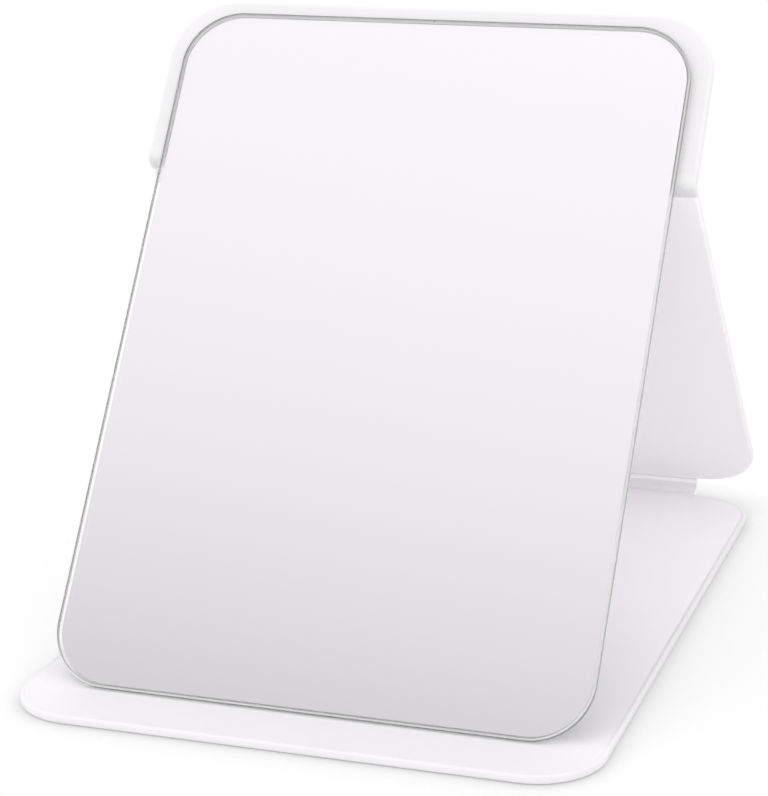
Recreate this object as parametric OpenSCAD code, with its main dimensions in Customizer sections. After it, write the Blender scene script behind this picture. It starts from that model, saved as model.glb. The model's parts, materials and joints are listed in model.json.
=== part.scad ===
// Folding desk mirror, shown open as it stands on a table.
// Millimetres. +Z is up, +X is to the viewer's right, +Y runs away from the viewer.
// The origin is the middle of the base panel's underside.

/* [Panels] */
// Width of the base, rear and upper panels
panel_w = 193; // [150:1:230]
// Thickness of a covered panel
panel_t = 3; // [2.6:0.1:5]
// Length of the base panel from front to back
base_len = 257; // [200:1:310]
// Radius of the outer corners of the panels
corner_r = 22; // [10:1:30]
// Radius of the panel corners beside the top fold
fold_corner_r = 3; // [2.6:0.1:8]
// Rounding of the covered edges
edge_round = 1; // [0.6:0.1:1.2]
// Width of the turned-in rim round the lining
rim_w = 1.6; // [1.4:0.1:4]

/* [Spine strip] */
// Width of the spine strip and of its two folds
spine_w = 146; // [100:1:160]
// Thickness of the spine strip
spine_t = 2.4; // [2:0.1:3]
// Distance between the two folds of the spine strip
spine_pitch = 8.2; // [7:0.1:14]
// Angle of the spine strip above the table
spine_deg = 45; // [20:1:90]

/* [Standing pose] */
// Angle of the mirror above the table
mirror_deg = 53.5; // [45:0.5:60]
// Angle of the rear panel, from the table behind it
rear_deg = 131.5; // [120:0.5:140]
// Distance from the rear fold to the top fold
rear_pitch = 192.6; // [150:0.2:230]
// Length of the upper panel above the top fold
upper_len = 61; // [45:0.5:80]
// Half of the bare width of each fold
fold_half = 1.35; // [1:0.05:2.5]

/* [Mirror] */
// Panel left showing on each side of the mirror
side_border = 6.5; // [3:0.5:12]
// Radius of the mirror's corners
glass_r = 20; // [8:1:30]
// Thickness of the clear sheet
glass_t = 2.8; // [1.8:0.1:4]
// Rounding of the polished edge
glass_edge = 1.2; // [0.4:0.1:1.4]
// Panel left showing above the mirror
top_border = 6; // [3:0.5:12]
// Clearance under the mirror's lower edge, which rests on the base lining
seat_gap = 0.12; // [0.05:0.01:0.3]

/* [Hidden] */

$fn = 96;

// layers of a covered panel, from the outer side inwards
skin_t = 0.7;
lining_t = 0.6;
lining_step = 0.2;
board_t = panel_t - skin_t - lining_t - lining_step;
// board and lining stop this far short of the rim
lay_gap = 0.1;

// layers of the spine strip
spine_skin_t = 0.6;
spine_rim = 0.9;
spine_round = 0.8;
spine_corner = 2;
spine_lining_t = 0.5;
spine_step = 0.15;
spine_board_t = spine_t - spine_skin_t - spine_lining_t - spine_step;

// folds
fold_r = 1;
fold_web_t = 1;
fold_inset = 1.5;
top_fold_w = panel_w - 2 * fold_inset;

// layers behind the clear sheet
tape_t = 0.5;
coat_t = 0.1;
silver_t = 0.1;
coat_inset = 1.4;
tape_inset = 15;
tape_h = 17;
tape_drop = 8;
tape_rise = 6;

// the mirror leaves an even border on the panel
glass_w = panel_w - 2 * side_border;
tape_w = glass_w - 2 * tape_inset;

// fold axes, in the plane across the mirror
half_t = panel_t / 2;
base_axis_y = base_len / 2 + fold_half;
base_axis_z = half_t;
rear_axis_y = base_axis_y + spine_pitch * cos(spine_deg);
rear_axis_z = base_axis_z + spine_pitch * sin(spine_deg);
top_axis_y = rear_axis_y + rear_pitch * cos(rear_deg);
top_axis_z = rear_axis_z + rear_pitch * sin(rear_deg);

// heights above the upper panel's middle plane
lining_top = half_t - lining_step;
tape_top = lining_top + tape_t;
coat_top = tape_top + coat_t;
silver_top = coat_top + silver_t;
glass_mid = silver_top + glass_t / 2;

// how far the mirror reaches below the top fold, down to the base lining
seat_z = panel_t - lining_step + seat_gap;
edge_z = top_axis_z + (silver_top + glass_edge) * cos(mirror_deg) - glass_edge;
glass_reach = glass_edge + (edge_z - seat_z) / sin(mirror_deg);
glass_top = upper_len - top_border;

// tones
skin_tone = [0.95, 0.95, 0.94];
lining_tone = [0.92, 0.92, 0.91];
board_tone = [0.62, 0.6, 0.56];
tape_tone = [0.85, 0.85, 0.83];
coat_tone = [0.5, 0.52, 0.54];
silver_tone = [0.8, 0.82, 0.84];
glass_tone = [0.8, 0.9, 0.88, 0.4];

// outline of a panel from y0 to y1, with corner radii r0 and r1
module outline(w, y0, y1, r0, r1) {
    union() {
        translate([-w / 2, y0 + r0]) square([w, y1 - y0 - r0 - r1]);
        translate([-w / 2 + r0, y0]) square([w - 2 * r0, r0]);
        translate([-w / 2 + r1, y1 - r1]) square([w - 2 * r1, r1]);
        for (s = [-1, 1]) {
            translate([s * (w / 2 - r0), y0 + r0]) circle(r = r0);
            translate([s * (w / 2 - r1), y1 - r1]) circle(r = r1);
        }
    }
}

// flat sheet with that outline
module sheet(w, y0, y1, r0, r1, z, t) {
    translate([0, 0, z]) linear_extrude(height = t) outline(w, y0, y1, r0, r1);
}

// section of a rounded edge, m wide
module edge_section(m, t, e) {
    union() {
        square([m - e, t]);
        translate([0, e]) square([m, t - 2 * e]);
        translate([m - e, e]) circle(r = e);
        translate([m - e, t - e]) circle(r = e);
    }
}

// a quarter of a rounded disc
module corner_piece(r, t, e, turn) {
    rotate([0, 0, turn]) rotate_extrude(angle = 90) edge_section(r, t, e);
}

// a straight rounded edge, len long, its back at the origin and its edge at +Y
module edge_bar(len, m, t, e) {
    rotate([90, 0, 90]) linear_extrude(height = len, center = true) edge_section(m, t, e);
}

// plate with rounded edges, from z up
module soft_plate(w, y0, y1, r0, r1, z, t, e) {
    side = min(r0, r1);
    mid = y1 - y0 - r0 - r1;
    translate([0, 0, z]) union() {
        for (s = [-1, 1]) {
            translate([s * (w / 2 - r0), y0 + r0, 0])
                corner_piece(r0, t, e, s > 0 ? 270 : 180);
            translate([s * (w / 2 - r1), y1 - r1, 0])
                corner_piece(r1, t, e, s > 0 ? 0 : 90);
            translate([s * (w / 2 - side), (y0 + r0 + y1 - r1) / 2, 0])
                rotate([0, 0, -s * 90]) edge_bar(mid, side, t, e);
        }
        translate([0, y0 + r0, 0]) rotate([0, 0, 180]) edge_bar(w - 2 * r0, r0, t, e);
        translate([0, y1 - r1, 0]) edge_bar(w - 2 * r1, r1, t, e);
        translate([-w / 2 + side, y0 + r0, 0]) cube([w - 2 * side, mid, t]);
    }
}

// leather tray that wraps the board and ends in the rim round the lining
module skin_tray(w, y0, y1, r0, r1, t, e, rim, floor_t) {
    difference() {
        soft_plate(w, y0, y1, r0, r1, -t / 2, t, e);
        sheet(w - 2 * rim, y0 + rim, y1 - rim, r0 - rim, r1 - rim, -t / 2 + floor_t, t);
    }
}

// board or lining inside a tray
module tray_layer(w, y0, y1, r0, r1, rim, z, t) {
    i = rim + lay_gap;
    sheet(w - 2 * i, y0 + i, y1 - i, r0 - i, r1 - i, z, t);
}

// soft fold: a roll on the fold's axis and a web back to its own panel
module fold_roll(w, dir) {
    union() {
        rotate([0, 90, 0]) cylinder(r = fold_r, h = w, center = true);
        translate([-w / 2, dir > 0 ? 0 : -fold_half, -fold_web_t / 2])
            cube([w, fold_half, fold_web_t]);
    }
}

// places of the four stiff pieces
module at_base() { translate([0, 0, half_t]) children(); }
module at_spine() {
    translate([0, base_axis_y, base_axis_z]) rotate([spine_deg, 0, 0]) children();
}
module at_rear() {
    translate([0, rear_axis_y, rear_axis_z]) rotate([rear_deg, 0, 0]) children();
}
module at_upper() {
    translate([0, top_axis_y, top_axis_z]) rotate([mirror_deg, 0, 0]) children();
}

// base panel
module base_skin() {
    color(skin_tone) at_base()
        skin_tray(panel_w, -base_len / 2, base_len / 2, corner_r, corner_r,
                  panel_t, edge_round, rim_w, skin_t);
}
module base_board() {
    color(board_tone) at_base()
        tray_layer(panel_w, -base_len / 2, base_len / 2, corner_r, corner_r,
                   rim_w, -half_t + skin_t, board_t);
}
module base_lining() {
    color(lining_tone) at_base()
        tray_layer(panel_w, -base_len / 2, base_len / 2, corner_r, corner_r,
                   rim_w, -half_t + skin_t + board_t, lining_t);
}
module base_fold() {
    color(skin_tone) translate([0, base_axis_y, base_axis_z]) fold_roll(spine_w, -1);
}

// spine strip
module spine_skin() {
    color(skin_tone) at_spine()
        skin_tray(spine_w, fold_half, spine_pitch - fold_half, spine_corner, spine_corner,
                  spine_t, spine_round, spine_rim, spine_skin_t);
}
module spine_board() {
    color(board_tone) at_spine()
        tray_layer(spine_w, fold_half, spine_pitch - fold_half, spine_corner, spine_corner,
                   spine_rim, -spine_t / 2 + spine_skin_t, spine_board_t);
}
module spine_lining() {
    color(lining_tone) at_spine()
        tray_layer(spine_w, fold_half, spine_pitch - fold_half, spine_corner, spine_corner,
                   spine_rim, -spine_t / 2 + spine_skin_t + spine_board_t, spine_lining_t);
}
module rear_fold() {
    color(skin_tone) at_rear() fold_roll(spine_w, 1);
}

// rear panel
module rear_skin() {
    color(skin_tone) at_rear()
        skin_tray(panel_w, fold_half, rear_pitch - fold_half, corner_r, fold_corner_r,
                  panel_t, edge_round, rim_w, skin_t);
}
module rear_board() {
    color(board_tone) at_rear()
        tray_layer(panel_w, fold_half, rear_pitch - fold_half, corner_r, fold_corner_r,
                   rim_w, -half_t + skin_t, board_t);
}
module rear_lining() {
    color(lining_tone) at_rear()
        tray_layer(panel_w, fold_half, rear_pitch - fold_half, corner_r, fold_corner_r,
                   rim_w, -half_t + skin_t + board_t, lining_t);
}
module top_fold() {
    color(skin_tone) at_upper() fold_roll(top_fold_w, 1);
}

// upper panel
module upper_skin() {
    color(skin_tone) at_upper()
        skin_tray(panel_w, fold_half, upper_len, fold_corner_r, corner_r,
                  panel_t, edge_round, rim_w, skin_t);
}
module upper_board() {
    color(board_tone) at_upper()
        tray_layer(panel_w, fold_half, upper_len, fold_corner_r, corner_r,
                   rim_w, -half_t + skin_t, board_t);
}
module upper_lining() {
    color(lining_tone) at_upper()
        tray_layer(panel_w, fold_half, upper_len, fold_corner_r, corner_r,
                   rim_w, -half_t + skin_t + board_t, lining_t);
}

// tape that holds the mirror
module tape_strip(y) {
    translate([-tape_w / 2, y, lining_top]) cube([tape_w, tape_h, tape_t]);
}
module mounting_tape_high() {
    color(tape_tone) at_upper() tape_strip(glass_top - tape_drop - tape_h);
}
module mounting_tape_low() {
    color(tape_tone) at_upper() tape_strip(tape_rise);
}

// mirror
module coat_layer(z, t) {
    i = coat_inset;
    sheet(glass_w - 2 * i, -glass_reach + i, glass_top - i, glass_r - i, glass_r - i, z, t);
}
module mirror_back_coat() {
    color(coat_tone) at_upper() coat_layer(tape_top, coat_t);
}
module mirror_silvering() {
    color(silver_tone) at_upper() coat_layer(coat_top, silver_t);
}
module mirror_glass() {
    color(glass_tone) at_upper()
        soft_plate(glass_w, -glass_reach, glass_top, glass_r, glass_r,
                   silver_top, glass_t, glass_edge);
}

base_skin();
base_board();
base_lining();
base_fold();
spine_skin();
spine_board();
spine_lining();
rear_fold();
rear_skin();
rear_board();
rear_lining();
top_fold();
upper_skin();
upper_board();
upper_lining();
mounting_tape_high();
mounting_tape_low();
mirror_back_coat();
mirror_silvering();
mirror_glass();
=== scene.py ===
"""Folding desk mirror: leather covers, polished mirror, folds, floor, lamps and camera."""

import json
import math
from functools import partial

import bpy
import numpy as np
from mathutils import Matrix, Vector


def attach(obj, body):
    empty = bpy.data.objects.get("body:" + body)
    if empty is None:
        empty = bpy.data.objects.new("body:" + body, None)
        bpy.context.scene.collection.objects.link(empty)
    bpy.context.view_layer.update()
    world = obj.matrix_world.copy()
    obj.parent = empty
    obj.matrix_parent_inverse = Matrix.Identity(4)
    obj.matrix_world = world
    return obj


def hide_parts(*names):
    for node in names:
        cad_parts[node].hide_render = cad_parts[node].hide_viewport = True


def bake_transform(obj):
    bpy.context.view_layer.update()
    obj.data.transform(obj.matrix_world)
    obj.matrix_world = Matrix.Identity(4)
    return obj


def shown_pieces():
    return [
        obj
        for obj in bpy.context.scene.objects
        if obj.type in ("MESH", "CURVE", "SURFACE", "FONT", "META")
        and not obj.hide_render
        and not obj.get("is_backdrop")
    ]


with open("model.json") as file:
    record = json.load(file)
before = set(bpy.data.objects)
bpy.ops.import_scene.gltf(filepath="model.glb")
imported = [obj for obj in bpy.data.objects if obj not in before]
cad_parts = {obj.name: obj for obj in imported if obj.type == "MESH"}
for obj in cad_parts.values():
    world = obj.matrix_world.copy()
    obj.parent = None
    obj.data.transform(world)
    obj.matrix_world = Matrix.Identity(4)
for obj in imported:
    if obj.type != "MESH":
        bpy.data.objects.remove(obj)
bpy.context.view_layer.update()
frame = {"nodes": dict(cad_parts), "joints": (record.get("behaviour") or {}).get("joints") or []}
CAD_NODES = frame["nodes"]
MM = 0.001

# Sizes of the part, in millimetres
PANEL_W, PANEL_T, BASE_LEN = 193.0, 3.0, 257.0
CORNER_R, FOLD_CORNER_R, EDGE_ROUND = 22.0, 3.0, 1.0
RIM_W, SKIN_T, LINING_T, LINING_TOP, LINING_STEP = 1.6, 0.7, 0.6, 1.3, 0.2
SPINE_W, SPINE_T, SPINE_PITCH = 146.0, 2.4, 8.2
SPINE_RIM, SPINE_ROUND, SPINE_CORNER = 0.9, 0.8, 2.0
SPINE_SKIN_T, SPINE_LINING_T, SPINE_LINING_TOP = 0.6, 0.5, 1.05
FOLD_HALF, REAR_PITCH, UPPER_LEN = 1.35, 192.6, 61.0
GLASS_W, GLASS_TOP, GLASS_R, GLASS_T = 180.0, 55.0, 20.0, 2.8
GLASS_EDGE, GLASS_BACK, BEVEL, SEAT_GAP = 1.2, 2.0, 0.45, 0.12
TAPE_W, TAPE_T, TAPE_H, TAPE_MARGIN, TAPE_LOW = 150.0, 0.5, 17.0, 8.0, 6.0
SPINE_DEG, REAR_DEG, MIRROR_DEG = 45.0, 131.5, 53.5


def crease(name):
    """A crease's axis, in millimetres: its place across the mirror as (y, z)."""
    joint = next(j for j in frame["joints"] if j["name"] == name)
    return joint["pos_m"][1] / MM, joint["pos_m"][2] / MM


BASE_AXIS, REAR_AXIS, TOP_AXIS = (crease(n) for n in ("base_crease", "rear_crease", "top_crease"))

# Each stiff panel's own plane: where its local origin is, and how far it is turned about X
PLACES = {
    "base": ((0.0, PANEL_T / 2), 0.0),
    "spine": (BASE_AXIS, SPINE_DEG),
    "rear_panel": (REAR_AXIS, REAR_DEG),
    "mirror_panel": (TOP_AXIS, MIRROR_DEG),
}


def glass_reach():
    """How far the mirror goes below the top fold, down to the base lining."""
    tilt = math.radians(MIRROR_DEG)
    edge_z = TOP_AXIS[1] + (GLASS_BACK + GLASS_EDGE) * math.cos(tilt) - GLASS_EDGE
    return GLASS_EDGE + (edge_z - (PANEL_T - LINING_STEP + SEAT_GAP)) / math.sin(tilt)


def add_object(name, data):
    """A new object in the scene, at the origin."""
    made = bpy.data.objects.new(name, data)
    bpy.context.scene.collection.objects.link(made)
    return made


# ---------------------------------------------------------------- node trees


def feed(tree, socket, value):
    """Links another node's socket to this one, or sets its value."""
    if isinstance(value, bpy.types.NodeSocket):
        tree.links.new(value, socket)
    else:
        socket.default_value = value


def put(tree, kind, inputs=None, **settings):
    """Adds a node; inputs are values or other nodes' sockets, by name or number."""
    made = tree.nodes.new(kind)
    for key, value in settings.items():
        setattr(made, key, value)
    for key, value in (inputs or {}).items():
        feed(tree, made.inputs[key], value)
    return made


def math_of(tree, operation, *values):
    return put(tree, "ShaderNodeMath", dict(enumerate(values)), operation=operation).outputs[0]


def by_index(tree, data_type, values):
    """Gives each point of a short line its own value, by its number."""
    switch = tree.nodes.new("GeometryNodeIndexSwitch")
    switch.data_type = data_type
    while len(switch.index_switch_items) < len(values):
        switch.index_switch_items.new()
    tree.links.new(tree.nodes.new("GeometryNodeInputIndex").outputs[0], switch.inputs["Index"])
    for number, value in enumerate(values):
        feed(tree, switch.inputs[str(number)], value)
    return switch.outputs[0]


def along(tree, field, axis):
    """One axis of a mesh's Position or Normal."""
    source = tree.nodes.new("GeometryNodeInput" + field).outputs[0]
    return put(tree, "ShaderNodeSeparateXYZ", {0: source}).outputs[axis]


PLATE_SIZES = ("Width", "Start", "End", "Start corner", "End corner", "Thickness", "Edge round",
               "Rim", "Floor", "Inner round", "Waviness", "Point spacing")
PLATE_FINISHES = ("Finish", "Bevel finish", "Wall finish")
CORNER_STEPS, ROUND_STEPS = 24, 8
# the swept edge reaches this many edge rounds onto the flat faces
LAP = 2.2
WANDER_SCALE = 38.0
# in metres: what counts as on a flat face's level, and what is welded together
LEVEL_REACH, WELD_REACH = 0.00002, 0.000004
# a face steeper than the first is bevel, and steeper than the second is wall
BEVEL_STEEP, WALL_STEEP = 0.93, 0.35


def plate_outline(tree, size):
    """The outline, anticlockwise, with its own corner radius at each end."""
    calc = partial(math_of, tree)
    length = calc("SUBTRACT", size["End"], size["Start"])
    middle = calc("MULTIPLY", calc("ADD", size["End"], size["Start"]), 0.5)
    box = put(tree, "GeometryNodeCurvePrimitiveQuadrilateral",
              {"Width": size["Width"], "Height": length})
    radii = by_index(tree, "FLOAT", [size["End corner"], size["End corner"],
                                     size["Start corner"], size["Start corner"]])
    rounded = put(tree, "GeometryNodeFilletCurve",
                  {"Curve": box.outputs[0], "Radius": radii, "Count": CORNER_STEPS,
                   "Limit Radius": True}, mode="POLY")
    offset = put(tree, "ShaderNodeCombineXYZ", {"Y": middle})
    moved = put(tree, "GeometryNodeSetPosition",
                {"Geometry": rounded.outputs[0], "Offset": offset.outputs[0]})
    even = put(tree, "GeometryNodeResampleCurve",
               {"Curve": moved.outputs[0], "Length": size["Point spacing"]}, mode="LENGTH")
    # the hand-wrapped edge wanders a little
    place = tree.nodes.new("GeometryNodeInputPosition").outputs[0]
    noise = put(tree, "ShaderNodeTexNoise",
                {"Vector": place, "W": size["Seed"], "Scale": WANDER_SCALE, "Detail": 1.0},
                noise_dimensions="4D")
    swing = calc("MULTIPLY", calc("SUBTRACT", noise.outputs[0], 0.5), size["Waviness"])
    outward = put(tree, "ShaderNodeVectorMath",
                  {0: tree.nodes.new("GeometryNodeInputTangent").outputs[0], 1: (0.0, 0.0, 1.0)},
                  operation="CROSS_PRODUCT")
    shift = put(tree, "ShaderNodeVectorMath", {0: outward.outputs[0], "Scale": swing},
                operation="SCALE")
    return put(tree, "GeometryNodeSetPosition",
               {"Geometry": even.outputs[0], "Offset": shift.outputs[0]}).outputs[0]


def plate_section(tree, size, kind, half, low):
    """The edge's section, from the inner edge of the top to the inner edge of the underside."""
    calc = partial(math_of, tree)
    lap = calc("MULTIPLY", size["Edge round"], LAP)
    # each corner of the section: how far in, how high, and its radius
    if kind == "tray":
        corners = [(size["Rim"], size["Floor"], 0.0), (size["Rim"], half, size["Inner round"]),
                   (0.0, half, size["Edge round"]), (0.0, low, size["Edge round"]),
                   (lap, low, 0.0)]
    elif kind == "bevelled":
        bevel, soft = size["Edge round"], size["Inner round"]
        corners = [(lap, half, 0.0), (bevel, half, soft),
                   (0.0, calc("SUBTRACT", half, bevel), soft),
                   (0.0, calc("ADD", low, bevel), soft), (bevel, low, soft), (lap, low, 0.0)]
    else:
        corners = [(lap, half, 0.0), (0.0, half, size["Edge round"]),
                   (0.0, low, size["Inner round"]), (lap, low, 0.0)]
    points = []
    for inset, height, _ in corners:
        pair = put(tree, "ShaderNodeCombineXYZ",
                   {"X": calc("MULTIPLY", inset, -1.0), "Y": calc("MULTIPLY", height, -1.0)})
        points.append(pair.outputs[0])
    line = put(tree, "GeometryNodeMeshLine", {"Count": len(points)})
    bent = put(tree, "GeometryNodeSetPosition",
               {"Geometry": line.outputs[0], "Position": by_index(tree, "VECTOR", points)})
    path = put(tree, "GeometryNodeMeshToCurve", {"Mesh": bent.outputs[0]})
    eased = put(tree, "GeometryNodeFilletCurve",
                {"Curve": path.outputs[0], "Count": ROUND_STEPS, "Limit Radius": True,
                 "Radius": by_index(tree, "FLOAT", [r for _, _, r in corners])}, mode="POLY")
    # how far the leather is drawn round the edge: 1 on the round, 0 on the flat; it places the
    # painted edge highlight and the smoother leather there
    inwards = calc("MULTIPLY", along(tree, "Position", "X"), -1.0)
    drawn = put(tree, "ShaderNodeMapRange",
                {"Value": inwards, "From Min": 0.0, "From Max": lap, "To Min": 1.0,
                 "To Max": 0.0}, interpolation_type="SMOOTHSTEP")
    return put(tree, "GeometryNodeStoreNamedAttribute",
               {"Geometry": eased.outputs[0], "Name": "drawn_edge", "Value": drawn.outputs[0]},
               data_type="FLOAT", domain="POINT").outputs[0]


def flat_faces(tree, swept, levels):
    """The top and the underside, which close the swept edge."""
    calc = partial(math_of, tree)
    rims = tree.nodes.new("GeometryNodeInputMeshEdgeNeighbors").outputs[0]
    open_edge = put(tree, "FunctionNodeCompare", {2: rims, 3: 1}, data_type="INT",
                    operation="EQUAL").outputs[0]
    height = along(tree, "Position", "Z")
    flats = []
    for level, faces_down in zip(levels, (False, True)):
        near = calc("LESS_THAN", calc("ABSOLUTE", calc("SUBTRACT", height, level)), LEVEL_REACH)
        chosen = put(tree, "FunctionNodeBooleanMath", {0: open_edge, 1: near}, operation="AND")
        loop = put(tree, "GeometryNodeMeshToCurve",
                   {"Mesh": swept, "Selection": chosen.outputs[0]})
        filled = put(tree, "GeometryNodeFillCurve", {"Curve": loop.outputs[0]}, mode="NGONS")
        raised = put(tree, "ShaderNodeCombineXYZ", {"Z": level})
        flat = put(tree, "GeometryNodeSetPosition",
                   {"Geometry": filled.outputs[0], "Offset": raised.outputs[0]}).outputs[0]
        if faces_down:
            flat = put(tree, "GeometryNodeFlipFaces", {"Mesh": flat}).outputs[0]
        flats.append(flat)
    return flats


def plate_tree(name, kind):
    """A plate swept along its outline: an open tray, a rounded sheet or a bevelled one."""
    tree = bpy.data.node_groups.new(name, "GeometryNodeTree")
    calc = partial(math_of, tree)
    for label in (*PLATE_SIZES, "Seed"):
        tree.interface.new_socket(label, in_out="INPUT", socket_type="NodeSocketFloat")
    for label in PLATE_FINISHES:
        tree.interface.new_socket(label, in_out="INPUT", socket_type="NodeSocketMaterial")
    tree.interface.new_socket("Plate", in_out="OUTPUT", socket_type="NodeSocketGeometry")
    size = tree.nodes.new("NodeGroupInput").outputs

    half = calc("MULTIPLY", size["Thickness"], 0.5)
    low = calc("MULTIPLY", half, -1.0)
    swept = put(tree, "GeometryNodeCurveToMesh",
                {"Curve": plate_outline(tree, size),
                 "Profile Curve": plate_section(tree, size, kind, half, low)}).outputs[0]
    top = size["Floor"] if kind == "tray" else half
    joined = tree.nodes.new("GeometryNodeJoinGeometry")
    for part in (*flat_faces(tree, swept, (top, low)), swept):
        tree.links.new(part, joined.inputs[0])
    closed = put(tree, "GeometryNodeMergeByDistance",
                 {"Geometry": joined.outputs[0], "Distance": WELD_REACH})
    smooth = put(tree, "GeometryNodeSetShadeSmooth",
                 {"Geometry": closed.outputs[0], "Shade Smooth": True})
    real = put(tree, "GeometryNodeRealizeInstances", {"Geometry": smooth.outputs[0]})
    finish = put(tree, "GeometryNodeSetMaterial",
                 {"Geometry": real.outputs[0], "Material": size["Finish"]})
    if kind == "bevelled":
        steep = calc("ABSOLUTE", along(tree, "Normal", "Z"))
        for limit, label in ((BEVEL_STEEP, "Bevel finish"), (WALL_STEEP, "Wall finish")):
            finish = put(tree, "GeometryNodeSetMaterial",
                         {"Geometry": finish.outputs[0], "Material": size[label],
                          "Selection": calc("LESS_THAN", steep, limit)})
    end = tree.nodes.new("NodeGroupOutput")
    tree.links.new(finish.outputs[0], end.inputs["Plate"])
    return tree


TRAY = plate_tree("covered tray", "tray")
SHEET = plate_tree("rounded sheet", "sheet")
BEVELLED = plate_tree("bevelled sheet", "bevelled")
# sizes in millimetres that most plates share
PLATE_DEFAULTS = {"Edge round": 0.2, "Rim": 0.0, "Floor": 0.0, "Inner round": 0.2,
                  "Waviness": 0.0, "Point spacing": 0.75}


def make_plate(name, tree, body, level, finish, seed=0.0, edges=(None, None), **sizes):
    """Runs a plate tree, then puts the plain mesh in its panel's plane, level above it."""
    holder = add_object("making " + name, bpy.data.meshes.new("making " + name))
    run = holder.modifiers.new("shape", "NODES")
    run.node_group = tree
    given = {**PLATE_DEFAULTS, **{key.replace("_", " "): value for key, value in sizes.items()}}
    finishes = dict(zip(PLATE_FINISHES, (finish, *edges)))
    for item in tree.interface.items_tree:
        if item.in_out != "INPUT":
            continue
        if item.name == "Seed":
            run[item.identifier] = float(seed)
        elif item.name in finishes:
            run[item.identifier] = finishes[item.name]
        else:
            run[item.identifier] = float(given[item.name]) * MM
    bpy.context.view_layer.update()
    ready = holder.evaluated_get(bpy.context.evaluated_depsgraph_get())
    mesh = bpy.data.meshes.new_from_object(ready)
    mesh.name = name
    bpy.data.objects.remove(holder)
    (y, z), turn = PLACES[body]
    mesh.transform(Matrix.Translation((0.0, 0.0, level * MM)))
    mesh.transform(Matrix.Rotation(math.radians(turn), 4, "X"))
    mesh.transform(Matrix.Translation((0.0, y * MM, z * MM)))
    return add_object(name, mesh)


# ---------------------------------------------------------------- materials


def emptied(owner):
    """A material's or world's node tree, without its first nodes."""
    owner.use_nodes = True
    owner.node_tree.nodes.clear()
    return owner.node_tree


def new_material(name):
    made = bpy.data.materials.new(name)
    tree = emptied(made)
    shader = tree.nodes.new("ShaderNodeBsdfPrincipled")
    end = tree.nodes.new("ShaderNodeOutputMaterial")
    tree.links.new(shader.outputs[0], end.inputs["Surface"])
    return made, tree, shader


def in_object(tree):
    return tree.nodes.new("ShaderNodeTexCoord").outputs["Object"]


def in_panel(tree, body):
    """Object coordinates in a panel's own plane."""
    (y, z), turn = PLACES[body]
    turned = put(tree, "ShaderNodeMapping",
                 {"Vector": in_object(tree), "Location": (0.0, y * MM, z * MM),
                  "Rotation": (math.radians(turn), 0.0, 0.0)}, vector_type="TEXTURE")
    return turned.outputs[0]


def along_piece(tree):
    """The piece's own map, which is in metres."""
    return put(tree, "ShaderNodeUVMap", uv_map="leather_map").outputs[0]


def noise_of(tree, where, scale, detail, roughness=0.5):
    return put(tree, "ShaderNodeTexNoise",
               {"Vector": where, "Scale": scale, "Detail": detail,
                "Roughness": roughness}).outputs[0]


def bump_of(tree, height, strength, distance, under=None):
    """A bump over the surface, or over another bump under it."""
    inputs = {"Height": height, "Strength": strength, "Distance": distance}
    if under is not None:
        inputs["Normal"] = under
    return put(tree, "ShaderNodeBump", inputs).outputs[0]


def mix_of(tree, share, first, second):
    """A mix of two colours, or of sockets that give them."""
    return put(tree, "ShaderNodeMix", {"Factor": share, 6: first, 7: second},
               data_type="RGBA").outputs[2]


def ramp_of(tree, value, stops):
    """A colour ramp; each stop is its place and its colour."""
    ramp = tree.nodes.new("ShaderNodeValToRGB")
    steps = ramp.color_ramp.elements
    while len(steps) < len(stops):
        steps.new(0.5)
    for step, (place, colour) in zip(steps, stops):
        step.position = place
        step.color = (*colour, 1.0)
    tree.links.new(value, ramp.inputs[0])
    return ramp.outputs[0]


def shaded(tone, factor, limit=1.0):
    """A tone made darker or paler, but no paler than the limit."""
    return (*[min(limit, c * factor) for c in tone], 1.0)


COVER_TONE = (0.953, 0.936, 0.953)
LINING_TONE = (0.949, 0.932, 0.949)
# in metres: the grain's ribs, how deep it is pressed, and the soft unevenness of the hide
GRAIN_PITCH, GRAIN_DEPTH, HIDE_DEPTH = 0.0008, 0.00004, 0.0004
PORE_SCALE, CLOUD_SCALE = 2600.0, 42.0
RIB_SHARE, PORE_SHARE = 0.75, 0.25
# shares of the leather's tone: in its clouds, as painted shade at the bottom of its grooves and as
# a painted highlight round its edges
CLOUD_DARK, CLOUD_PALE, GROOVE_PAINTED_SHADE, EDGE_HIGHLIGHT = 0.988, 1.008, 0.8, 1.015
# the palest that the clouds and the painted edge highlight may be
CLOUD_LIMIT, EDGE_HIGHLIGHT_LIMIT = 0.97, 0.975
# how far the drawn edge is painted paler, as a highlight, and how far its grain is flattened
EDGE_HIGHLIGHT_SHARE, EDGE_FLATTEN = 0.55, 0.6
# how far apart a wave texture's bands are at a scale of 1
BAND_PITCH = 0.314159
# the texture of card, foam and paint, in metres
COAT_DEPTH = 0.0001
GLASS_IOR = 1.5


def ribs(tree, where, degrees):
    """Fine straight ribs in the panel's plane."""
    turned = put(tree, "ShaderNodeMapping",
                 {"Vector": where, "Rotation": (0.0, 0.0, math.radians(degrees))})
    return put(tree, "ShaderNodeTexWave",
               {"Vector": turned.outputs[0], "Scale": BAND_PITCH / GRAIN_PITCH,
                "Distortion": 0.9, "Detail": 1.0, "Detail Scale": 1.2, "Detail Roughness": 0.4},
               wave_type="BANDS", bands_direction="X", wave_profile="SIN").outputs["Fac"]


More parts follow.
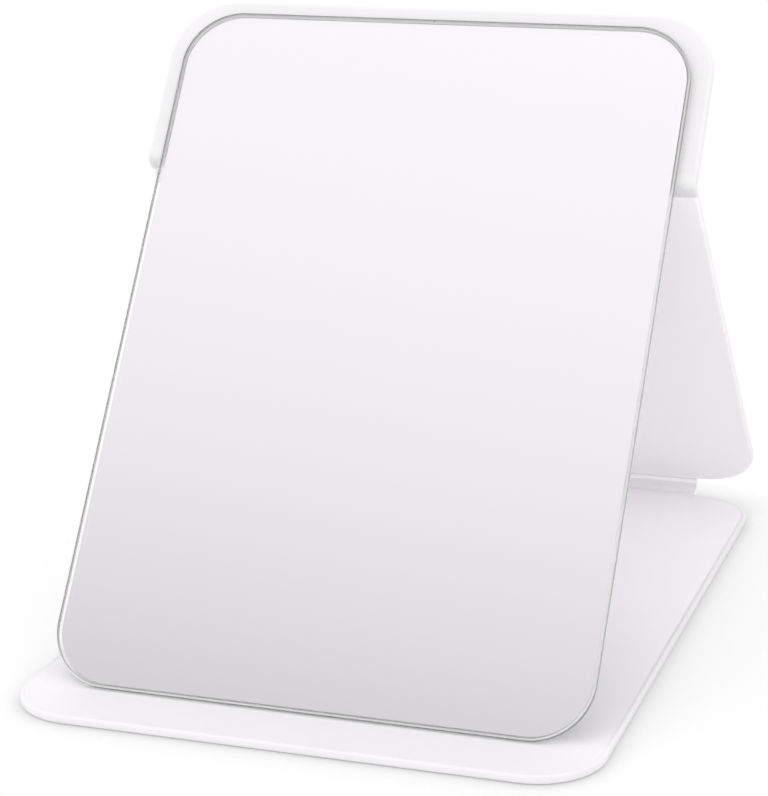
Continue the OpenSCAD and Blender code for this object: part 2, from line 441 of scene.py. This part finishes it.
def leather(name, where_of, tone, groove_shade, roughness):
    """Pale coated leather with a fine crossed grain, smoother where it is drawn round an edge."""
    made, tree, shader = new_material(name)
    calc = partial(math_of, tree)
    where = where_of(tree)
    cross = calc("MULTIPLY", calc("ADD", ribs(tree, where, 45.0), ribs(tree, where, -45.0)), 0.5)
    pores = noise_of(tree, where, PORE_SCALE, 2.0, 0.55)
    cloud = noise_of(tree, where, CLOUD_SCALE, 3.0)
    drawn = put(tree, "ShaderNodeAttribute", attribute_name="drawn_edge").outputs["Fac"]
    grain = calc("ADD", calc("MULTIPLY", cross, RIB_SHARE),
                 calc("MULTIPLY", pores, PORE_SHARE))
    # colour: clouded a little, with painted shade in the grooves and a painted highlight round the
    # edge
    clouded = mix_of(tree, cloud, shaded(tone, CLOUD_DARK),
                     shaded(tone, CLOUD_PALE, CLOUD_LIMIT))
    # painted shade: the bottoms of the grain's grooves are darkened, as if shade fell in them
    pressed = mix_of(tree, calc("MULTIPLY", calc("SUBTRACT", 1.0, grain), groove_shade), clouded,
                     shaded(tone, GROOVE_PAINTED_SHADE))
    # painted highlight: the drawn edge is made paler, as if it caught the light
    edge = mix_of(tree, calc("MULTIPLY", drawn, EDGE_HIGHLIGHT_SHARE), pressed,
                  shaded(tone, EDGE_HIGHLIGHT, EDGE_HIGHLIGHT_LIMIT))
    tree.links.new(edge, shader.inputs["Base Color"])
    # roughness: more in the pores and grooves, less round the edge
    rough = calc("ADD", roughness - 0.05,
                 calc("ADD", calc("MULTIPLY", pores, 0.08),
                      calc("MULTIPLY", calc("SUBTRACT", 1.0, cross), 0.06)))
    tree.links.new(calc("SUBTRACT", rough, calc("MULTIPLY", drawn, 0.06)),
                   shader.inputs["Roughness"])
    flat = calc("SUBTRACT", 1.0, calc("MULTIPLY", drawn, EDGE_FLATTEN))
    raised = bump_of(tree, calc("MULTIPLY", grain, flat), 0.55, GRAIN_DEPTH)
    tree.links.new(bump_of(tree, cloud, 0.25, HIDE_DEPTH, raised), shader.inputs["Normal"])
    shader.inputs["Specular IOR Level"].default_value = 0.35
    shader.inputs["Sheen Weight"].default_value = 0.04
    shader.inputs["Sheen Roughness"].default_value = 0.5
    return made


def panel_leathers(body):
    """A body's cover leather and its slightly darker and rougher lining leather."""
    label = body.replace("_", " ")
    where_of = partial(in_panel, body=body)
    return (leather("white leather, " + label, where_of, COVER_TONE, 0.16, 0.42),
            leather("lining leather, " + label, where_of, LINING_TONE, 0.2, 0.46))


def greyboard():
    """Pressed grey card with flecks of fibre."""
    made, tree, shader = new_material("pressed greyboard")
    where = in_object(tree)
    fibre = noise_of(tree, where, 900.0, 4.0, 0.7)
    fleck = put(tree, "ShaderNodeTexVoronoi", {"Vector": where, "Scale": 420.0})
    mixed = math_of(tree, "ADD", math_of(tree, "MULTIPLY", fibre, 0.8),
                    math_of(tree, "MULTIPLY", fleck.outputs["Distance"], 0.25))
    card = ramp_of(tree, mixed, [(0.3, (0.2, 0.19, 0.17)), (0.75, (0.38, 0.36, 0.32))])
    tree.links.new(card, shader.inputs["Base Color"])
    tree.links.new(bump_of(tree, fibre, 0.5, COAT_DEPTH), shader.inputs["Normal"])
    shader.inputs["Roughness"].default_value = 0.9
    return made


def foam():
    """White closed-cell foam of the mounting tape."""
    made, tree, shader = new_material("white foam tape")
    cells = put(tree, "ShaderNodeTexVoronoi",
                {"Vector": in_object(tree), "Scale": 3200.0}).outputs["Distance"]
    white = ramp_of(tree, cells, [(0.0, (0.62, 0.62, 0.6)), (1.0, (0.84, 0.84, 0.82))])
    tree.links.new(white, shader.inputs["Base Color"])
    tree.links.new(bump_of(tree, cells, 0.6, COAT_DEPTH), shader.inputs["Normal"])
    shader.inputs["Roughness"].default_value = 0.85
    return made


def back_paint():
    """Grey protective paint on the back of the mirror, rolled on."""
    made, tree, shader = new_material("mirror back paint")
    stretched = put(tree, "ShaderNodeMapping",
                    {"Vector": in_panel(tree, "mirror_panel"), "Scale": (1.0, 0.12, 1.0)})
    rolled = noise_of(tree, stretched.outputs[0], 500.0, 3.0, 0.6)
    grey = ramp_of(tree, rolled, [(0.25, (0.3, 0.31, 0.325)), (0.8, (0.37, 0.38, 0.395))])
    tree.links.new(grey, shader.inputs["Base Color"])
    rough = math_of(tree, "ADD", 0.32, math_of(tree, "MULTIPLY", rolled, 0.15))
    tree.links.new(rough, shader.inputs["Roughness"])
    tree.links.new(bump_of(tree, rolled, 0.2, COAT_DEPTH), shader.inputs["Normal"])
    return made


def silver():
    """Silvering: a full mirror, very slightly uneven in tone."""
    made, tree, shader = new_material("silvering")
    haze = noise_of(tree, in_panel(tree, "mirror_panel"), 14.0, 2.0)
    bright = ramp_of(tree, haze, [(0.0, (0.985, 0.965, 0.985)), (1.0, (0.993, 0.973, 0.993))])
    tree.links.new(bright, shader.inputs["Base Color"])
    shader.inputs["Metallic"].default_value = 1.0
    shader.inputs["Roughness"].default_value = 0.0
    return made


def clear_glass(name, low, high, roughness, clear):
    """The clear sheet, its ground bevels or its polished wall."""
    made, tree, shader = new_material(name)
    marks = noise_of(tree, in_panel(tree, "mirror_panel"), 260.0, 2.0)
    tree.links.new(mix_of(tree, marks, (*low, 1.0), (*high, 1.0)), shader.inputs["Base Color"])
    worn = math_of(tree, "MULTIPLY", math_of(tree, "ADD", marks, 0.5), roughness)
    tree.links.new(worn, shader.inputs["Roughness"])
    shader.inputs["Transmission Weight"].default_value = clear
    shader.inputs["IOR"].default_value = GLASS_IOR
    return made


LEATHERS_OF = {body: panel_leathers(body) for body in PLACES}
FOLD_LEATHER = leather("white leather, folds", along_piece, COVER_TONE, 0.16, 0.44)
GREYBOARD = greyboard()
FOAM = foam()
BACK_PAINT = back_paint()
SILVER = silver()
# the sheet is almost colourless; its ground bevels and its wall are a little green
GLASS = clear_glass("clear glass", (0.994, 0.993, 0.994), (0.997, 0.996, 0.997), 0.0, 1.0)
GROUND_BEVEL = clear_glass("ground glass bevel", (0.77, 0.79, 0.765), (0.85, 0.87, 0.845),
                           0.35, 0.5)
EDGE_WALL = clear_glass("polished glass edge", (0.80, 0.83, 0.81), (0.86, 0.89, 0.87),
                        0.06, 0.65)

# ---------------------------------------------------------------- covered panels

PANELS = [
    # body, cover node, lining node, from, to, corner radii at each end
    ("base", "base_skin", "base_lining", -BASE_LEN / 2, BASE_LEN / 2, CORNER_R, CORNER_R),
    ("rear_panel", "rear_skin", "rear_lining", FOLD_HALF, REAR_PITCH - FOLD_HALF,
     CORNER_R, FOLD_CORNER_R),
    ("mirror_panel", "upper_skin", "upper_lining", FOLD_HALF, UPPER_LEN,
     FOLD_CORNER_R, CORNER_R),
]

# the rim is pressed down and the lining plumps up, so that they meet almost flush
RIM_DROP, LINING_RISE = 0.08, 0.08
# the lining reaches 0.05 mm into the rim, so that no gap shows
LINING_INSET = RIM_W - 0.05
HAND_WAVINESS = 0.16


def stiff_piece(piece, body, node):
    """A piece that rides on its body in place of its CAD node."""
    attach(piece, body)
    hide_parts(node)


def covered_panel(body, skin_node, lining_node, start, end, r0, r1, seed):
    """A board wrapped in leather, with a sheet of the same leather let into its inner side."""
    cover, lining = LEATHERS_OF[body]
    skin = make_plate(skin_node.replace("skin", "leather_cover"), TRAY, body, -RIM_DROP / 2,
                      cover, seed, Width=PANEL_W, Start=start, End=end, Start_corner=r0,
                      End_corner=r1, Thickness=PANEL_T - RIM_DROP, Edge_round=EDGE_ROUND,
                      Rim=RIM_W, Floor=SKIN_T - PANEL_T / 2, Inner_round=0.08,
                      Waviness=HAND_WAVINESS)
    stiff_piece(skin, body, skin_node)
    sheet = make_plate(lining_node.replace("lining", "lining_sheet"), SHEET, body,
                       LINING_TOP + LINING_RISE - LINING_T / 2, lining, seed,
                       Width=PANEL_W - 2 * LINING_INSET, Start=start + LINING_INSET,
                       End=end - LINING_INSET, Start_corner=r0 - LINING_INSET,
                       End_corner=r1 - LINING_INSET, Thickness=LINING_T, Edge_round=0.06,
                       Inner_round=0.05, Waviness=HAND_WAVINESS)
    stiff_piece(sheet, body, lining_node)


for number, panel in enumerate(PANELS):
    covered_panel(*panel, seed=3.0 + number)

spine_cover = make_plate("spine_leather_cover", TRAY, "spine", 0.0, LEATHERS_OF["spine"][0], 9.0,
                         Width=SPINE_W, Start=FOLD_HALF, End=SPINE_PITCH - FOLD_HALF,
                         Start_corner=SPINE_CORNER, End_corner=SPINE_CORNER,
                         Thickness=SPINE_T, Edge_round=SPINE_ROUND, Rim=SPINE_RIM,
                         Floor=SPINE_SKIN_T - SPINE_T / 2, Inner_round=0.2, Waviness=0.15,
                         Point_spacing=0.6)
stiff_piece(spine_cover, "spine", "spine_skin")
spine_sheet = make_plate("spine_lining_sheet", SHEET, "spine",
                         SPINE_LINING_TOP - SPINE_LINING_T / 2, LEATHERS_OF["spine"][1], 9.0,
                         Width=SPINE_W - 2 * SPINE_RIM, Start=FOLD_HALF + SPINE_RIM,
                         End=SPINE_PITCH - FOLD_HALF - SPINE_RIM,
                         Start_corner=SPINE_CORNER - SPINE_RIM,
                         End_corner=SPINE_CORNER - SPINE_RIM, Thickness=SPINE_LINING_T,
                         Edge_round=0.15, Inner_round=0.1, Point_spacing=0.6)
stiff_piece(spine_sheet, "spine", "spine_lining")

# ---------------------------------------------------------------- soft folds

# how far a fold's two faces stand from the middle of each panel, just proud of its rounded edge
PANEL_FACES, SPINE_FACES = (1.46, 1.53), (1.24, 1.24)
FACES_OF = {"base": PANEL_FACES, "spine": SPINE_FACES, "rear_panel": PANEL_FACES,
            "mirror_panel": PANEL_FACES}
# how far from the crease the strip starts to curve, and how far out the joint bends it
CURVE_START, BEND_REACH = 1.15, 1.25
STRAIGHT_STEPS, CURVE_STEPS, END_STEPS, LONG_STEPS = 9, 15, 9, 221
# small wrinkles: height and spacing of each, and how far from the crease they and the waist go
CRIMPS = ((0.035, 2.7), (0.025, 4.9), (0.025, 11.0))
CRIMP_REACH, WAIST_REACH = 1.1, 2.2
# the last millimetre of each end is rounded, down to this share of the thickness
END_ROUND, END_SLIM = 1.0, 0.35


def heading(degrees):
    return np.array([math.cos(math.radians(degrees)), math.sin(math.radians(degrees))])


def left_of(way):
    return np.array([-way[1], way[0]])


# where a fold's thickness changes, from the crease outwards, and how fast it starts to grow
FACE_STEPS = (0.0, 0.45, 1.25, 2.3, 2.75, 4.4)
FACE_START, LET_IN, LET_IN_END = 0.12, 0.05, 0.2


def fold_face(away, middle, at_panel):
    """A fold's half thickness: thin at the crease, level with the panel, then let in under it."""
    heights = [middle, middle + FACE_START * (at_panel - middle), at_panel, at_panel,
               at_panel - LET_IN, at_panel - LET_IN_END]
    return np.interp(away, FACE_STEPS, heights)


def fold_path(axis, angles, reach_in, reach_out):
    """A fold's middle line, bent round the crease, and its normals towards the inner side."""
    way_in, way_out = (heading(angle) for angle in angles)
    left, left_out = left_of(way_in), left_of(way_out)
    turn = math.radians(angles[1] - angles[0])
    radius = CURVE_START / math.tan(turn / 2)
    centre = np.array(axis) - way_in * CURVE_START + left * radius
    path, normal = [], []
    for s in np.linspace(reach_in, CURVE_START, STRAIGHT_STEPS):
        path.append(np.array(axis) - way_in * s)
        normal.append(left)
    for a in np.linspace(0.0, turn, CURVE_STEPS)[1:-1]:
        spoke = -left * math.cos(a) + way_in * math.sin(a)
        path.append(centre + spoke * radius)
        normal.append(-spoke)
    for s in np.linspace(CURVE_START, reach_out, STRAIGHT_STEPS):
        path.append(np.array(axis) + way_out * s)
        normal.append(left_out)
    return np.array(path), np.array(normal)


def there_and_back(values):
    """One value for each point along the inner side, and the same back along the outer side."""
    return np.concatenate([values, values[::-1]])


def fold_web(name, width, axis, angles, bodies, reach_in, reach_out, thick, waist, seed):
    """The soft leather between two boards: a rounded strip, bent round its crease."""
    rng = np.random.default_rng(seed)
    path, normal = fold_path(axis, angles, reach_in, reach_out)
    run = np.concatenate([[0.0], np.cumsum(np.linalg.norm(np.diff(path, axis=0), axis=1))])
    crease_at = run[-1] * reach_in / (reach_in + reach_out)
    away = np.abs(run - crease_at)
    # the section goes along the inner side and back along the outer side
    sides = []
    for face_in, face_out, side in zip(*(FACES_OF[body] for body in bodies), (1.0, -1.0)):
        half = np.where(run < crease_at, fold_face(away, thick / 2, face_in),
                        fold_face(away, thick / 2, face_out))
        sides.append(path + side * normal * half[:, None])
    section = np.vstack([sides[0], sides[1][::-1]])
    facing = np.vstack([normal, -normal[::-1]])
    middle_line = there_and_back(path)
    length = np.concatenate([run, run[::-1] + run[-1] + thick])
    crimped = there_and_back(np.exp(-((away / CRIMP_REACH) ** 2)))
    narrow = there_and_back(1.0 - waist / (width / 2) * np.exp(-((away / WAIST_REACH) ** 2)))
    # rings across the fold, closer together at its rounded ends
    tips = width / 2 - np.linspace(0.0, END_ROUND, END_STEPS)[:-1] ** 1.5
    straight = width / 2 - END_ROUND
    across = np.concatenate([-tips, np.linspace(-straight, straight, LONG_STEPS), tips[::-1]])
    phases = rng.uniform(0, 2 * math.pi, (len(CRIMPS), 2))
    verts, maps = [], []
    for x in across:
        crimp = sum(height * math.sin(2 * math.pi * x / spacing + phases[k, 0])
                    for k, (height, spacing) in enumerate(CRIMPS))
        end = min(END_ROUND, width / 2 - abs(x))
        slim = math.sqrt(max(0.0, 1.0 - (1.0 - end / END_ROUND) ** 2))
        ring = middle_line + (section - middle_line) * (END_SLIM + (1.0 - END_SLIM) * slim)
        ring = ring + facing * (crimp * crimped * slim)[:, None]
        for k, (y, z) in enumerate(ring):
            verts.append((x * narrow[k] * MM, y * MM, z * MM))
            maps.append((x * MM, length[k] * MM))
    count, last = len(section), len(across) - 1
    faces = []
    for i in range(last):
        for k in range(count):
            a, b = i * count + k, i * count + (k + 1) % count
            faces.append((a, b, b + count, a + count))
    faces.append(tuple(range(count))[::-1])
    faces.append(tuple(range(last * count, (last + 1) * count)))
    mesh = bpy.data.meshes.new(name)
    mesh.from_pydata(verts, [], faces)
    layer = mesh.uv_layers.new(name="leather_map")
    for loop in mesh.loops:
        layer.data[loop.index].uv = maps[loop.vertex_index]
    mesh.polygons.foreach_set("use_smooth", [len(f) == 4 for f in faces])
    mesh.materials.append(FOLD_LEATHER)
    mesh.update()
    return add_object(name, mesh)


# each fold runs from its first body to its second; the top one comes down the upper panel
FOLDS = [
    # piece, CAD node, width, bodies before and after, axis, angles, reaches, thickness, waist
    ("base_fold_web", "base_fold", SPINE_W, ("base", "spine"), BASE_AXIS, (0.0, SPINE_DEG),
     3.1, 2.9, 1.7, 0.4),
    ("rear_fold_web", "rear_fold", SPINE_W, ("spine", "rear_panel"), REAR_AXIS,
     (SPINE_DEG, REAR_DEG), 2.9, 3.1, 2.0, 0.4),
    ("top_fold_web", "top_fold", PANEL_W, ("mirror_panel", "rear_panel"), TOP_AXIS,
     (MIRROR_DEG + 180.0, REAR_DEG + 180.0), 4.4, 4.4, 2.7, 0.0),
]

for seed, (piece, node, width, bodies, axis, angles, *shape) in enumerate(FOLDS, 11):
    web = fold_web(piece, width, axis, angles, bodies, *shape, seed)
    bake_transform(web)
    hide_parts(node)

# ---------------------------------------------------------------- mirror

# the clear sheet laps the silvering by this much, so that no gap shows between them
GLASS_LAP = 0.02
glass = make_plate("mirror_clear_sheet", BEVELLED, "mirror_panel",
                   GLASS_BACK + GLASS_T / 2 - GLASS_LAP / 2, GLASS,
                   edges=(GROUND_BEVEL, EDGE_WALL), Width=GLASS_W, Start=-glass_reach(),
                   End=GLASS_TOP, Start_corner=GLASS_R, End_corner=GLASS_R,
                   Thickness=GLASS_T + GLASS_LAP, Edge_round=BEVEL, Inner_round=0.1,
                   Point_spacing=0.8)
stiff_piece(glass, "mirror_panel", "mirror_glass")

# each strip of tape and where it starts, up from the top fold
TAPES = [("mounting_tape_high", GLASS_TOP - TAPE_MARGIN - TAPE_H), ("mounting_tape_low", TAPE_LOW)]
for node, start_y in TAPES:
    tape = make_plate(node.replace("mounting_tape", "foam_tape"), SHEET, "mirror_panel",
                      LINING_TOP + TAPE_T / 2, FOAM, 5.0, Width=TAPE_W, Start=start_y,
                      End=start_y + TAPE_H, Start_corner=0.6, End_corner=0.6,
                      Thickness=TAPE_T, Edge_round=0.2, Inner_round=0.2, Waviness=0.2)
    stiff_piece(tape, "mirror_panel", node)


def refinish(node, finish):
    """Gives a CAD node that stays its material."""
    mesh = CAD_NODES[node].data
    mesh.materials.clear()
    mesh.materials.append(finish)


for node in ("base_board", "spine_board", "rear_board", "upper_board"):
    refinish(node, GREYBOARD)
refinish("mirror_back_coat", BACK_PAINT)
refinish("mirror_silvering", SILVER)

# ---------------------------------------------------------------- floor, world and lamps

WHITE = (1.0, 1.0, 1.0, 1.0)
FLOOR_REACH, FLOOR_LEVEL = 12.0, -0.0002
# the floor's own tone, and the lesser share of the light that the camera sees on it
PAPER, PAPER_SHOWN = (0.86, 0.86, 0.86, 1.0), (0.35, 0.35, 0.35, 1.0)
# as the camera sees the floor: its own light, and the shade close under the object
FLOOR_GLOW, CONTACT_SHADE, CONTACT_EASE, CONTACT_REACH = 0.665, 0.34, 0.55, 0.02


def studio_floor():
    """Plain white floor. The camera sees it lit to white, with the soft contact shadow."""
    mesh = bpy.data.meshes.new("studio floor")
    corners = ((-1, -1), (1, -1), (1, 1), (-1, 1))
    mesh.from_pydata([(x * FLOOR_REACH, y * FLOOR_REACH, FLOOR_LEVEL) for x, y in corners], [],
                     [(0, 1, 2, 3)])
    made = bpy.data.materials.new("studio floor")
    tree = emptied(made)
    calc = partial(math_of, tree)
    path = tree.nodes.new("ShaderNodeLightPath").outputs
    seen = calc("MAXIMUM", calc("MAXIMUM", path["Is Camera Ray"], path["Is Glossy Ray"]),
                path["Is Transmission Ray"])
    plain = put(tree, "ShaderNodeBsdfDiffuse", {"Color": PAPER})
    shown = put(tree, "ShaderNodeBsdfDiffuse", {"Color": PAPER_SHOWN})
    open_sky = put(tree, "ShaderNodeAmbientOcclusion", {"Distance": CONTACT_REACH}, samples=8)
    hidden = calc("POWER", calc("SUBTRACT", 1.0, open_sky.outputs["AO"]), CONTACT_EASE)
    level = calc("SUBTRACT", FLOOR_GLOW, calc("MULTIPLY", hidden, CONTACT_SHADE))
    glow = put(tree, "ShaderNodeEmission", {"Color": WHITE, "Strength": level})
    lit = put(tree, "ShaderNodeAddShader", {0: shown.outputs[0], 1: glow.outputs[0]})
    mixed = put(tree, "ShaderNodeMixShader",
                {0: seen, 1: plain.outputs[0], 2: lit.outputs[0]})
    end = tree.nodes.new("ShaderNodeOutputMaterial")
    tree.links.new(mixed.outputs[0], end.inputs["Surface"])
    mesh.materials.append(made)
    add_object("studio floor", mesh)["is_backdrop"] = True


studio_floor()

# the light tent's level, which falls on everything
DOME = 0.97
# What the mirror shows: brightness by direction, from a grey band in front to white overhead
BACKDROP_AIM = (0.1185, 1.15, 1.0)
BACKDROP_STEPS = [(-0.75, 1.0), (-0.4, 0.68), (-0.2, 0.55), (-0.084, 0.668), (-0.036, 0.738),
                  (0.012, 0.795), (0.060, 0.841), (0.108, 0.877), (0.157, 0.905),
                  (0.205, 0.928), (0.253, 0.947), (0.301, 0.964), (0.349, 0.981),
                  (0.45, 1.0)]


def studio_world():
    """The light tent: even light, a backdrop for the mirror and white for the camera."""
    world = bpy.data.worlds.new("studio")
    bpy.context.scene.world = world
    tree = emptied(world)
    way = tree.nodes.new("ShaderNodeTexCoord").outputs["Generated"]
    aim = put(tree, "ShaderNodeVectorMath", {0: way, 1: BACKDROP_AIM},
              operation="DOT_PRODUCT").outputs["Value"]
    low, high = BACKDROP_STEPS[0][0], BACKDROP_STEPS[-1][0]
    spread = put(tree, "ShaderNodeMapRange", {"Value": aim, "From Min": low, "From Max": high})
    ramp = ramp_of(tree, spread.outputs[0],
                   [((at - low) / (high - low), (tone,) * 3) for at, tone in BACKDROP_STEPS])
    path = tree.nodes.new("ShaderNodeLightPath").outputs
    mirrored = math_of(tree, "MAXIMUM", path["Is Glossy Ray"], path["Is Transmission Ray"])
    dome = put(tree, "ShaderNodeBackground", {"Color": WHITE, "Strength": DOME})
    backdrop = put(tree, "ShaderNodeBackground", {"Color": ramp, "Strength": 1.0})
    white = put(tree, "ShaderNodeBackground", {"Color": WHITE, "Strength": 1.0})
    first = put(tree, "ShaderNodeMixShader",
                {0: mirrored, 1: dome.outputs[0], 2: backdrop.outputs[0]})
    second = put(tree, "ShaderNodeMixShader",
                 {0: path["Is Camera Ray"], 1: first.outputs[0], 2: white.outputs[0]})
    end = tree.nodes.new("ShaderNodeOutputWorld")
    tree.links.new(second.outputs[0], end.inputs["Surface"])


studio_world()


def softbox(name, place, aim, size, power, lit=None, spread=180.0, shade=None):
    """A round lamp that no mirror or glass shows.

    It lights every piece, or only those in lit, and every piece shades it, or only those in shade.
    """
    lamp = bpy.data.lights.new(name, "AREA")
    lamp.shape = "DISK"
    lamp.size = size
    lamp.energy = power
    lamp.spread = math.radians(spread)
    made = add_object(name, lamp)
    made.location = place
    made.rotation_mode = "QUATERNION"
    made.rotation_quaternion = (Vector(aim) - Vector(place)).to_track_quat("-Z", "Y")
    made.visible_glossy = False
    made.visible_transmission = False
    if lit is not None:
        made.light_linking.receiver_collection = lit
    if shade is not None:
        made.light_linking.blocker_collection = shade


def chosen_pieces(name, wanted):
    """A group of pieces for one softbox; the floor stays out, so it keeps its own soft shadow."""
    chosen = bpy.data.collections.new(name)
    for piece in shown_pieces():
        if piece.name in wanted:
            chosen.objects.link(piece)
    return chosen


REAR_FACES = ("rear_leather_cover", "rear_lining_sheet", "rear_fold_web")
REAR_SHADE = ("rear_leather_cover", "base_leather_cover")
INNER_FACES = ("base_lining_sheet", "spine_leather_cover", "spine_lining_sheet",
               "base_fold_web", "rear_fold_web")
softbox("top softbox", (-0.3, -0.5, 1.3), (0.0, -0.1, 0.0), size=0.8, power=1.7)
# soft fill under the mirror: a pair beside it, and one that the mirror doesn't shade
for side in (-1.0, 1.0):
    softbox("inner softbox", (0.5 * side, 0.02, 0.14), (0.0, 0.03, 0.04), size=0.15,
            power=0.065, lit=chosen_pieces("inner faces", INNER_FACES), spread=44.0)
softbox("rear fill softbox", (0.1, -0.6, 0.1), (0.0, 0.08, 0.1), size=0.3, power=1.2,
        lit=chosen_pieces("rear panel", REAR_FACES),
        shade=chosen_pieces("rear panel's own shade", REAR_SHADE))

# ---------------------------------------------------------------- camera

CAM_RIGHT = Vector((0.947063, 0.320532, -0.018195))
CAM_DOWN = Vector((0.078959, -0.287482, -0.954526))
CAM_AHEAD = Vector((-0.311186, 0.902560, -0.297572))
CAM_PLACE = (0.262853, -0.788783, 0.33396)
# the photograph's height and the camera's focal length, both in pixels
FRAME_H, FOCAL_PX = 796, 2550.861
SENSOR = 36.0

lens = bpy.data.cameras.new("photo camera")
lens.sensor_width = SENSOR
lens.lens = FOCAL_PX * SENSOR / FRAME_H
lens.clip_start, lens.clip_end = 0.05, 50.0
camera = add_object("photo camera", lens)
turn = Matrix((CAM_RIGHT, -CAM_DOWN, -CAM_AHEAD)).transposed().to_4x4()
camera.matrix_world = Matrix.Translation(CAM_PLACE) @ turn
bpy.context.scene.camera = camera
bpy.context.scene.view_settings.view_transform = "Standard"
